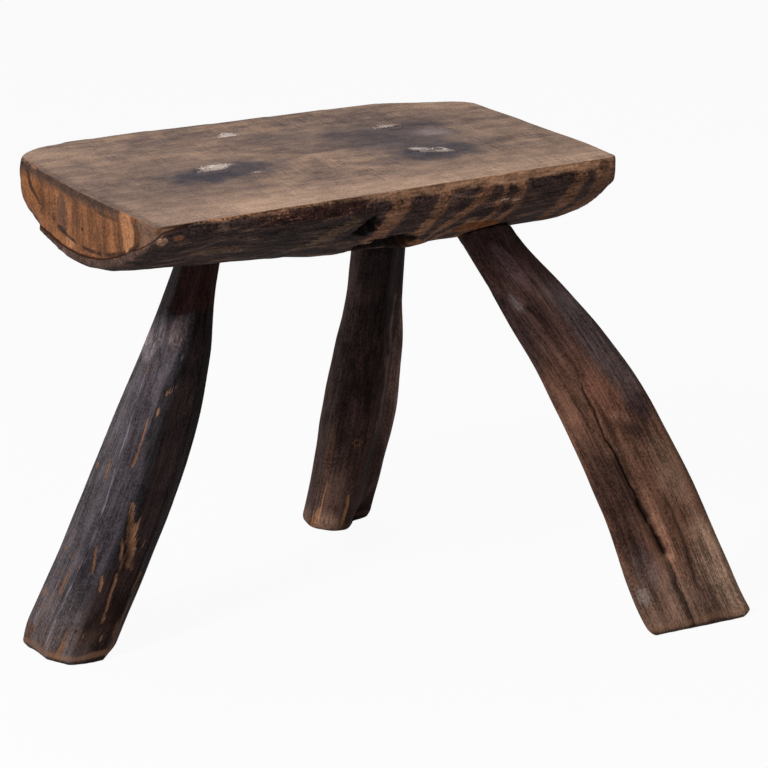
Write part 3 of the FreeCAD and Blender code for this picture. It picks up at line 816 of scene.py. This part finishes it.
# A zone of another tone: height, side, reach up, reach across, core, strength and colour. Some zones are
# painted light and shade.
LEFT_ZONES = (
    # Painted light on the left facets, which face the lamp.
    (0.30, -0.95, 0.60, 0.60, 0.6, 0.55, seen(86, 79, 82)),
    (0.05, -0.5, 0.14, 0.9, 0.35, 0.5, seen(104, 93, 92)),
    # Painted light: the band lit just below the seat's shadow.
    (0.64, -0.12, 0.12, 0.50, 0.5, 0.45, seen(86, 77, 82)),
    (0.31, 0.32, 0.36, 0.32, 0.55, 0.85, seen(36, 33, 36)),
    (0.53, 0.24, 0.15, 0.34, 0.7, 0.85, seen(37, 34, 36)),
    # Painted light: the band lit just below the seat's shadow, in these two rows.
    (0.665, -0.78, 0.06, 0.40, 0.5, 0.75, seen(122, 112, 114)),
    (0.685, -0.05, 0.045, 0.34, 0.5, 0.7, seen(106, 90, 90)),
    # Painted shade on the right side, turned away from the lamp.
    (0.42, 0.95, 0.80, 0.75, 0.75, 0.92, seen(34, 24, 23)),
    (0.12, 0.40, 0.14, 0.5, 0.35, 0.65, seen(44, 31, 27)),
    # Painted shadow of the seat across the top of the leg.
    (0.95, 0.0, 0.24, 3.0, 0.95, 0.92, seen(51, 31, 28)),
    # Painted light on the left facet above the seat's shadow.
    (0.80, -0.90, 0.14, 0.40, 0.7, 0.6, seen(84, 78, 80)),
    (0.06, 0.1, 0.03, 0.7, 0.3, 0.14, seen(112, 80, 60)),
    (0.02, 0.0, 0.05, 2.0, 0.35, 0.14, seen(96, 76, 66)),
)
FRONT_ZONES = (
    # Painted shadow of the seat across the top of the leg, in this row and the third.
    (0.82, 0.0, 0.33, 3.0, 0.45, 0.82, seen(61, 44, 43)),
    (0.60, 0.72, 0.18, 0.50, 0.5, 0.75, seen(84, 73, 73)),
    (0.98, 0.0, 0.20, 3.0, 0.85, 0.8, seen(52, 36, 35)),
    (0.775, 0.05, 0.055, 0.50, 0.45, 0.75, seen(92, 69, 70)),
    (0.68, -0.10, 0.05, 0.30, 0.4, 0.6, seen(44, 31, 29)),
    (0.62, -0.60, 0.08, 0.40, 0.4, 0.5, seen(62, 46, 43)),
    (0.64, -0.92, 0.13, 0.40, 0.5, 0.7, seen(46, 35, 34)),
    (0.56, -0.50, 0.05, 0.30, 0.4, 0.5, seen(68, 46, 38)),
    (0.72, 0.42, 0.05, 0.30, 0.4, 0.5, seen(78, 63, 60)),
    (0.28, -0.64, 0.19, 0.42, 0.5, 0.75, seen(72, 51, 45)),
    (0.485, 0.08, 0.075, 0.34, 0.75, 0.75, seen(111, 74, 60)),
    (0.05, 0.0, 0.14, 2.0, 0.35, 0.7, seen(126, 99, 85)),
    (0.697, -0.50, 0.025, 0.16, 0.4, 0.6, seen(112, 103, 101)),
    (0.683, -0.29, 0.010, 0.07, 0.5, 0.8, seen(24, 17, 16)),
    (0.082, -0.81, 0.030, 0.14, 0.35, 0.6, seen(160, 144, 134)),
    (0.415, 0.30, 0.022, 0.26, 0.4, 0.6, seen(50, 40, 38)),
    (0.18, 0.08, 0.14, 0.14, 0.5, 0.65, seen(136, 98, 79)),
    (0.32, 0.66, 0.12, 0.40, 0.35, 0.5, seen(134, 106, 88)),
    (0.447, 0.17, 0.018, 0.22, 0.5, 0.75, seen(140, 100, 84)),
    (0.09, 0.34, 0.06, 0.20, 0.4, 0.5, seen(82, 58, 48)),
    (0.35, 0.10, 0.10, 0.35, 0.35, 0.5, seen(122, 87, 71)),
    (0.11, 0.78, 0.16, 0.55, 0.4, 0.65, seen(172, 139, 117)),
    (0.14, -0.55, 0.07, 0.40, 0.3, 0.5, seen(98, 82, 82)),
    (0.46, 0.64, 0.05, 0.28, 0.4, 0.65, seen(62, 50, 54)),
)
BACK_ZONES = (
    (0.80, 0.0, 0.36, 3.0, 0.35, 0.65, seen(33, 25, 25)),
    (0.38, -0.05, 0.16, 0.45, 0.4, 0.5, seen(70, 49, 48)),
    (0.10, -0.3, 0.17, 0.8, 0.35, 0.8, seen(94, 71, 64)),
    (0.02, -0.4, 0.06, 0.7, 0.35, 0.8, seen(156, 122, 103)),
    (0.45, -0.95, 0.6, 0.5, 0.5, 0.7, seen(92, 74, 69)),
    (0.52, -0.68, 0.30, 0.30, 0.6, 0.5, seen(66, 52, 50)),
    (0.62, 0.10, 0.30, 0.42, 0.8, 0.5, seen(32, 24, 24)),
    (0.09, -0.35, 0.08, 0.50, 0.4, 0.2, seen(128, 95, 80)),
    (0.38, 0.95, 0.26, 0.35, 0.4, 0.7, seen(130, 100, 93)),
    (0.45, 0.48, 0.22, 0.16, 0.4, 0.6, seen(36, 27, 26)),
    (0.25, 0.30, 0.12, 0.30, 0.35, 0.5, seen(76, 54, 46)),
    (0.20, 0.85, 0.20, 0.40, 0.4, 0.5, seen(80, 60, 54)),
    (0.22, -0.60, 0.10, 0.16, 0.3, 0.5, seen(120, 88, 70)),
)

left_leg = hewn_leg("left_leg", rounds=5, ripple=0.0006, lines=LEFT_LINES, knots=())
left_leg.data.materials.append(leg_wood(
    "left_leg_wood", tone=seen(61, 55, 59), contrast=1.15, zones=LEFT_ZONES,
    arris=seen(134, 127, 141), bare_tone=seen(110, 79, 60), bare_cover=0.9,
    fleck=1.0, fleck_low=0.85, foot_line=0.45, seed=1.0))
front_leg = hewn_leg("front_leg", rounds=7, ripple=0.0009, lines=FRONT_LINES, knots=())
front_leg.data.materials.append(leg_wood(
    "front_leg_wood", tone=seen(104, 73, 59), contrast=1.2, zones=FRONT_ZONES,
    arris=seen(160, 128, 108), bare_tone=seen(150, 112, 84), bare_cover=0.7,
    fleck=0.3, fleck_low=0.0, foot_line=0.40, seed=2.0))
back_leg = hewn_leg("back_leg", rounds=60, ripple=0.0014, lines=BACK_LINES, knots=BACK_KNOTS)
back_leg.data.materials.append(leg_wood(
    "back_leg_wood", tone=seen(57, 42, 39), contrast=1.5, zones=BACK_ZONES,
    arris=seen(132, 104, 94), bare_tone=seen(200, 142, 98), bare_cover=0.50,
    fleck=0.5, fleck_low=0.3, foot_line=0.3, seed=3.0))
for leg, node in ((left_leg, "left_leg"), (front_leg, "front_leg"), (back_leg, "back_leg")):
    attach(leg, "root")
    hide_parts(node)


# Wedges: slips of pale hardwood driven into a kerf in each tenon's end to spread it.
# Only the trimmed end shows in the seat's top, bruised and worn down with it.

WEDGE_VOXEL = 0.0007
WEDGE_STAIN = 0.8
WEDGE_RELIEF = 0.0004


def wedge_wood():
    """Pale bruised end grain, stained with the top round it."""
    material, shader, shade = new_finish("wedge_wood", specular=0.05)
    place = shade.vector("SUBTRACT", shade.node("TexCoord", {}, {}, "Object"), seat_middle)
    top, top_height = worn_top(shade, place)
    speck = shade.grain(place, (500, 500, 120))
    pale = (1.0 + speck * 0.3).lit(seen(168, 150, 140))
    colour = (speck * 0.1 + 0.20).over(top, pale)
    finish_with(shader, shade, colour, 0.6 + speck * 0.05, top_height + speck * 0.12)
    return material


wedge_finish = wedge_wood()
for node in ("left_wedge", "front_wedge", "back_wedge"):
    wedge = hewn_copy(node, WEDGE_VOXEL)
    points = read(wedge.data, "co")
    relief = WEDGE_RELIEF * waves(points, (160, 160, 60), 5.0)
    points += read(wedge.data, "normal") * relief[:, None]
    write(wedge.data, points)
    paint_top(wedge.data, points, WEDGE_STAIN)
    wedge.data.materials.append(wedge_finish)
    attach(wedge, "root")
    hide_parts(node)


# Studio: a pale floor and a soft light from the left, seen through a long lens.
# The camera sees the floor almost white, but the floor throws only a grey light back onto the
# stool. A weaker lamp above fills in the shadows.

CAMERA_FROM_SEAT = Vector((-1.2318, -2.2141, 0.6144))
VIEW_TURN = math.radians(-30.55)
VIEW_DROP = math.radians(18.01)
LENS = 141.2
SENSOR_WIDTH = 36.0
FAR_CLIP = 50.0
FLOOR_SIZE = 12.0
FLOOR_GREY = 0.55
FLOOR_WHITE = 0.94
ROOM_LIGHT = 0.30
AIM_SHARE = 0.7

camera_data = bpy.data.cameras.new("camera")
camera_data.lens = LENS
camera_data.sensor_width = SENSOR_WIDTH
camera_data.clip_end = FAR_CLIP
camera = bpy.data.objects.new("camera", camera_data)
camera.location = Vector(seat_middle) + CAMERA_FROM_SEAT
camera.rotation_euler = (math.pi / 2 - VIEW_DROP, 0, VIEW_TURN)
bpy.context.collection.objects.link(camera)
bpy.context.scene.camera = camera

floor_shape = bmesh.new()
bmesh.ops.create_grid(floor_shape, x_segments=1, y_segments=1, size=FLOOR_SIZE / 2)
floor_mesh = bpy.data.meshes.new("floor")
floor_shape.to_mesh(floor_mesh)
floor_shape.free()
floor = bpy.data.objects.new("floor", floor_mesh)
bpy.context.collection.objects.link(floor)

floor_material, floor_shader, floor_shade = new_finish("pale_floor", specular=0.0)
floor_shader.inputs["Base Color"].default_value = (FLOOR_GREY, FLOOR_GREY, FLOOR_GREY, 1)
floor_shader.inputs["Roughness"].default_value = 0.9
ray_names = ("Is Camera Ray", "Is Glossy Ray", "Is Transmission Ray")
camera_rays, glossy_rays, clear_rays = (floor_shade.node("LightPath", {}, {}, name) for name in ray_names)
white = floor_shade.node("Emission", {}, {"Color": (1, 1, 1, 1), "Strength": 1.0})
shown = camera_rays.most(glossy_rays).most(clear_rays) * FLOOR_WHITE
diffuse = Shade(floor_material.node_tree, floor_shader.outputs[0])
mixed = floor_shade.node("MixShader", {}, {0: shown, 1: diffuse, 2: white})
floor_output = floor_material.node_tree.nodes["Material Output"]
floor_material.node_tree.links.new(mixed.socket, floor_output.inputs["Surface"])
floor.data.materials.append(floor_material)

world = bpy.data.worlds.new("studio")
world.use_nodes = True
bpy.context.scene.world = world
world_shade = Shade(world.node_tree)
world_light = world_shade.node("Background", {}, {"Color": (1, 1, 1, 1), "Strength": ROOM_LIGHT})
world_white = world_shade.node("Background", {}, {"Color": (1, 1, 1, 1), "Strength": 1.0})
camera_rays, clear_rays = (world_shade.node("LightPath", {}, {}, name) for name in ray_names[::2])
seen_rays = camera_rays.most(clear_rays)
backdrop = world_shade.node("MixShader", {}, {0: seen_rays, 1: world_light, 2: world_white})
world.node_tree.links.new(backdrop.socket, world.node_tree.nodes["World Output"].inputs["Surface"])

# Name, place, size in metres and power in watts.
LAMPS = (
    ("left_light", (-1.55, -0.62, 1.62), 0.40, 44.0),
    ("top_light", (0.1, 0.3, 2.2), 1.2, 10.0),
)
for name, place, size, power in LAMPS:
    lamp_data = bpy.data.lights.new(name, "AREA")
    lamp_data.size = size
    lamp_data.energy = power
    lamp = bpy.data.objects.new(name, lamp_data)
    lamp.location = place
    aim = Vector((0, 0, seat_high[2] * AIM_SHARE)) - lamp.location
    lamp.rotation_euler = aim.to_track_quat("-Z", "Y").to_euler()
    bpy.context.collection.objects.link(lamp)

bpy.context.scene.view_settings.view_transform = "Standard"
